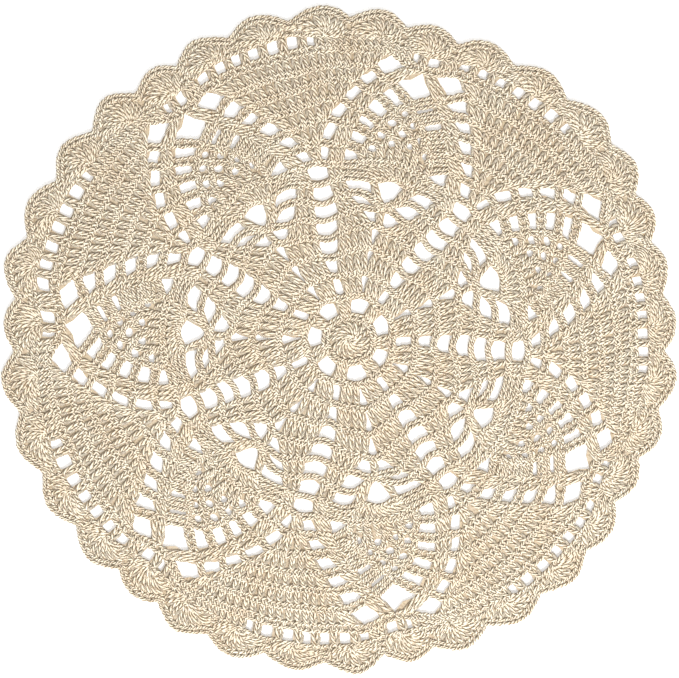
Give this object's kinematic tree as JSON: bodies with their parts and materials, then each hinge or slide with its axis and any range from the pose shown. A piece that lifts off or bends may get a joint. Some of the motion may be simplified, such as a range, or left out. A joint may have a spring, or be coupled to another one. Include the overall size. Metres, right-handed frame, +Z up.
{
  "type": "crocheted lace doily",
  "caption": "A round crocheted cotton doily with pineapple motifs in chain net, solid fans between them and a scalloped shell edge, lying flat.",
  "frame": {"origin": "The middle of the cloth's extents along X and Y, on its underside", "axes": "+Z up out of the cloth; X to the right and Y away as the cloth lies in the picture"},
  "size_m": [0.3, 0.298, 0.002],
  "materials": {
    "cotton": "matt undyed crochet cotton"
  },
  "bodies": {
    "root": {"doily": "cotton"}
  },
  "joints": []
}
